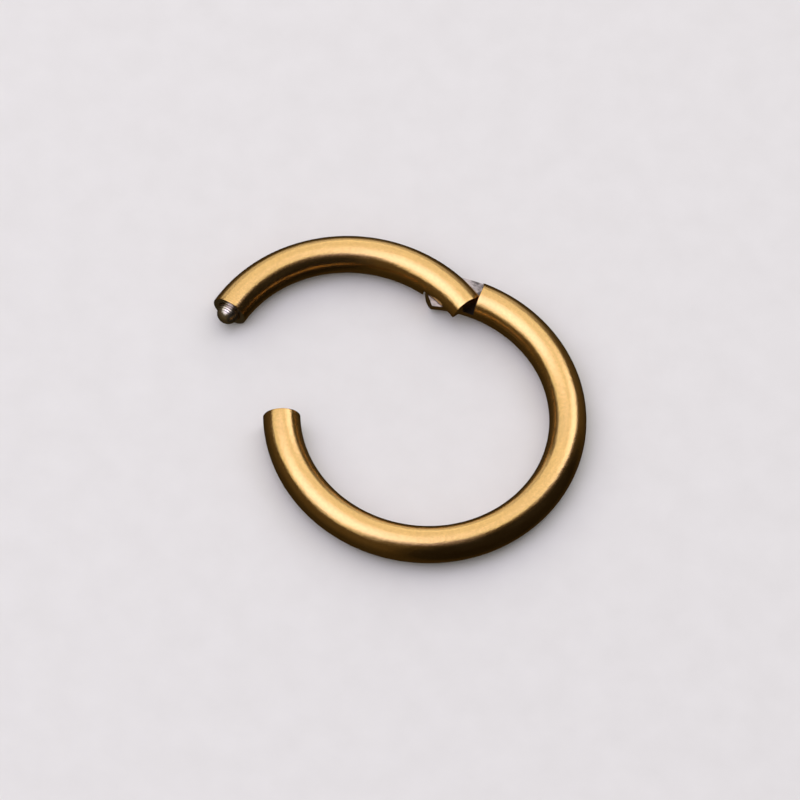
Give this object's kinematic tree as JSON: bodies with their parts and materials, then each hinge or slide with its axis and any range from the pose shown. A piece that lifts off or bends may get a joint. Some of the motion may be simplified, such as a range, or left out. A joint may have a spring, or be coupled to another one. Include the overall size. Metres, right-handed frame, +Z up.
{
  "type": "hinged segment ring",
  "caption": "Round wire body-jewellery hoop with a hinged segment that swings out in the hoop's plane and clicks shut on a ball-nosed pin.",
  "frame": {"origin": "on the hoop's flat underside, below the wire's centreline, at the hoop's point nearest to the viewer and nearly opposite the hinge", "axes": "+Z up, square to the hoop's plane; +Y from the origin to the hoop's centre, towards the hinge; +X to the right"},
  "size_m": [0.0124, 0.0114, 0.0012],
  "materials": {
    "gold_plated_steel": "satin gold plating on surgical steel",
    "bare_steel": "turned bare surgical steel"
  },
  "bodies": {
    "ring": {"ring_arc": "gold_plated_steel", "hinge_rivet": "bare_steel"},
    "swing_segment": {"segment": "gold_plated_steel", "click_pin": "bare_steel"}
  },
  "joints": [
    {"name": "segment_hinge", "type": "hinge", "parent": "ring", "child": "swing_segment", "pos_m": [0.00052, 0.00939, 0.0006], "axis": [0, 0, -1], "range_deg": [-32.5, 70]}
  ]
}
